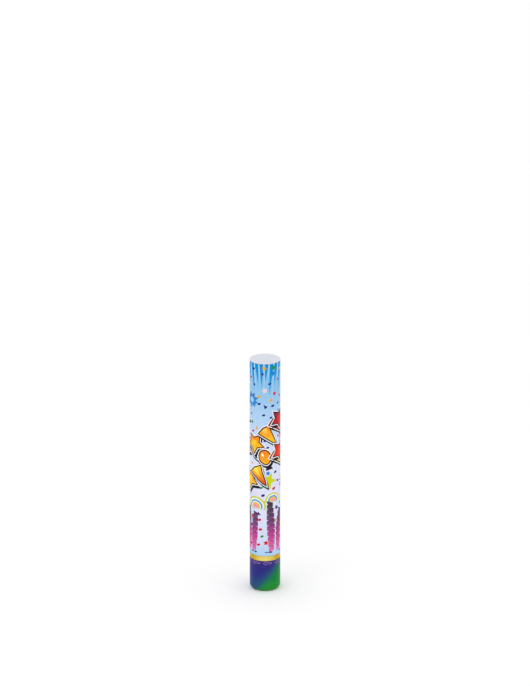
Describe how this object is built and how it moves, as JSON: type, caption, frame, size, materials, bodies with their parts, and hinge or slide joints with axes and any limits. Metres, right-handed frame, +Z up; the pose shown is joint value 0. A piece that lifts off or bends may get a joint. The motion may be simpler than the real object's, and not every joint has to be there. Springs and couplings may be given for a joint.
{
  "type": "party popper",
  "caption": "Hand-held confetti popper: a printed cardboard barrel that turns on a short base, where ramps draw the plug from a gas bottle and the charge leaves through the mouth.",
  "frame": {"origin": "middle of the foot, on the surface that the popper stands on", "axes": "+Z up the barrel towards the mouth, -Y towards the front of the print"},
  "size_m": [0.05, 0.05, 0.395],
  "materials": {
    "cup_plastic": "satin moulded",
    "base_print": "printed gloss film, blue to green",
    "gold_foil": "satin foil",
    "coupler_plastic": "satin moulded",
    "cradle_plastic": "satin moulded",
    "bottle_steel": "drawn and brushed",
    "cam_plastic": "satin moulded",
    "cardboard": "raw wound board",
    "label_print": "gloss printed paper",
    "sleeve_plastic": "satin moulded",
    "guide_plastic": "satin moulded",
    "baffle_plastic": "satin moulded",
    "plug_brass": "turned",
    "seal_rubber": "moulded",
    "yoke_plastic": "satin moulded",
    "clip_steel": "stamped",
    "piston_board": "pressed board",
    "grey_felt": "pressed felt",
    "tissue_green": "thin tissue",
    "tissue_rose": "thin tissue",
    "tissue_violet": "thin tissue",
    "tissue_yellow": "thin tissue",
    "cap_plastic": "pale satin moulded"
  },
  "bodies": {
    "base": {"base_cup": "cup_plastic", "base_wrap": "base_print", "gold_band": "gold_foil", "coupler_tube": "coupler_plastic", "bottle_cradle": "cradle_plastic", "gas_bottle": "bottle_steel", "cam_ring": "cam_plastic"},
    "barrel": {"barrel_tube": "cardboard", "label_wrap": "label_print", "bearing_sleeve": "sleeve_plastic", "guide_sleeve": "guide_plastic", "gas_baffle": "baffle_plastic"},
    "plug": {"valve_plug": "plug_brass", "plug_o_ring": "seal_rubber", "lift_yoke": "yoke_plastic", "yoke_clip": "clip_steel"},
    "wad": {"piston_cup": "piston_board", "felt_wad": "grey_felt"},
    "charge": {"confetti_stack_1": "tissue_green", "confetti_stack_2": "tissue_rose", "confetti_stack_3": "tissue_violet", "confetti_stack_4": "tissue_yellow"},
    "cap": {"mouth_cap": "cap_plastic"},
    "lead_01": {"confetti_lead_01": "tissue_green"},
    "lead_02": {"confetti_lead_02": "tissue_rose"},
    "lead_03": {"confetti_lead_03": "tissue_violet"},
    "lead_04": {"confetti_lead_04": "tissue_yellow"},
    "lead_05": {"confetti_lead_05": "tissue_green"},
    "lead_06": {"confetti_lead_06": "tissue_rose"},
    "lead_07": {"confetti_lead_07": "tissue_violet"},
    "lead_08": {"confetti_lead_08": "tissue_yellow"},
    "lead_09": {"confetti_lead_09": "tissue_green"},
    "lead_10": {"confetti_lead_10": "tissue_rose"},
    "lead_11": {"confetti_lead_11": "tissue_violet"},
    "lead_12": {"confetti_lead_12": "tissue_yellow"},
    "lead_13": {"confetti_lead_13": "tissue_green"},
    "lead_14": {"confetti_lead_14": "tissue_rose"}
  },
  "joints": [
    {"name": "barrel_twist", "type": "hinge", "parent": "base", "child": "barrel", "pos_m": [0, 0, 0.0624], "axis": [0, 0, 1], "range_deg": [0, 60]},
    {"name": "plug_lift", "type": "slide", "parent": "barrel", "child": "plug", "axis": [0, 0, 1], "range_m": [0, 0.0061]},
    {"name": "shot", "type": "slide", "parent": "barrel", "child": "charge", "axis": [0, 0, 1], "range_m": [0, 0.24]},
    {"name": "wad_drive", "type": "slide", "parent": "barrel", "child": "wad", "axis": [0, 0, 1], "range_m": [0, 0.19]},
    {"name": "cap_pop", "type": "slide", "parent": "barrel", "child": "cap", "axis": [0, 0, 1], "range_m": [0, 0.47]},
    {"name": "lead_01_flight", "type": "slide", "parent": "barrel", "child": "lead_01", "axis": [0.2675, -0.0841, 0.9599], "range_m": [0, 0.464]},
    {"name": "lead_02_flight", "type": "slide", "parent": "barrel", "child": "lead_02", "axis": [-0.2048, 0.2527, 0.9456], "range_m": [0, 0.459]},
    {"name": "lead_03_flight", "type": "slide", "parent": "barrel", "child": "lead_03", "axis": [-0.0994, -0.2847, 0.9535], "range_m": [0, 0.443]},
    {"name": "lead_04_flight", "type": "slide", "parent": "barrel", "child": "lead_04", "axis": [0.1558, 0.2303, 0.9606], "range_m": [0, 0.43]},
    {"name": "lead_05_flight", "type": "slide", "parent": "barrel", "child": "lead_05", "axis": [-0.4421, -0.1625, 0.8821], "range_m": [0, 0.461]},
    {"name": "lead_06_flight", "type": "slide", "parent": "barrel", "child": "lead_06", "axis": [-0.0418, 0.1427, 0.9889], "range_m": [0, 0.407]},
    {"name": "lead_07_flight", "type": "slide", "parent": "barrel", "child": "lead_07", "axis": [-0.3028, 0.0841, 0.9493], "range_m": [0, 0.416]},
    {"name": "lead_08_flight", "type": "slide", "parent": "barrel", "child": "lead_08", "axis": [-0.1215, 0.3789, 0.9174], "range_m": [0, 0.42]},
    {"name": "lead_09_flight", "type": "slide", "parent": "barrel", "child": "lead_09", "axis": [0.4468, 0.2649, 0.8545], "range_m": [0, 0.434]},
    {"name": "lead_10_flight", "type": "slide", "parent": "barrel", "child": "lead_10", "axis": [-0.4319, 0.2817, 0.8568], "range_m": [0, 0.426]},
    {"name": "lead_11_flight", "type": "slide", "parent": "barrel", "child": "lead_11", "axis": [0.0888, -0.5279, 0.8446], "range_m": [0, 0.417]},
    {"name": "lead_12_flight", "type": "slide", "parent": "barrel", "child": "lead_12", "axis": [0.0749, 0.5269, 0.8466], "range_m": [0, 0.4]},
    {"name": "lead_13_flight", "type": "slide", "parent": "barrel", "child": "lead_13", "axis": [-0.3543, -0.4533, 0.818], "range_m": [0, 0.384]},
    {"name": "lead_14_flight", "type": "slide", "parent": "barrel", "child": "lead_14", "axis": [0.5736, -0.1885, 0.7971], "range_m": [0, 0.371]}
  ],
  "couplings": [
    {"joint": "plug_lift", "follows": "barrel_twist", "m_per_rad": 0.0057296},
    {"joint": "wad_drive", "follows": "shot", "ratio": 0.79},
    {"joint": "cap_pop", "follows": "shot", "ratio": 1.95},
    {"joint": "lead_01_flight", "follows": "shot", "ratio": 1.9333},
    {"joint": "lead_02_flight", "follows": "shot", "ratio": 1.9125},
    {"joint": "lead_03_flight", "follows": "shot", "ratio": 1.8458},
    {"joint": "lead_04_flight", "follows": "shot", "ratio": 1.7917},
    {"joint": "lead_05_flight", "follows": "shot", "ratio": 1.9208},
    {"joint": "lead_06_flight", "follows": "shot", "ratio": 1.6958},
    {"joint": "lead_07_flight", "follows": "shot", "ratio": 1.7333},
    {"joint": "lead_08_flight", "follows": "shot", "ratio": 1.75},
    {"joint": "lead_09_flight", "follows": "shot", "ratio": 1.8083},
    {"joint": "lead_10_flight", "follows": "shot", "ratio": 1.775},
    {"joint": "lead_11_flight", "follows": "shot", "ratio": 1.7375},
    {"joint": "lead_12_flight", "follows": "shot", "ratio": 1.6667},
    {"joint": "lead_13_flight", "follows": "shot", "ratio": 1.6},
    {"joint": "lead_14_flight", "follows": "shot", "ratio": 1.5458}
  ]
}
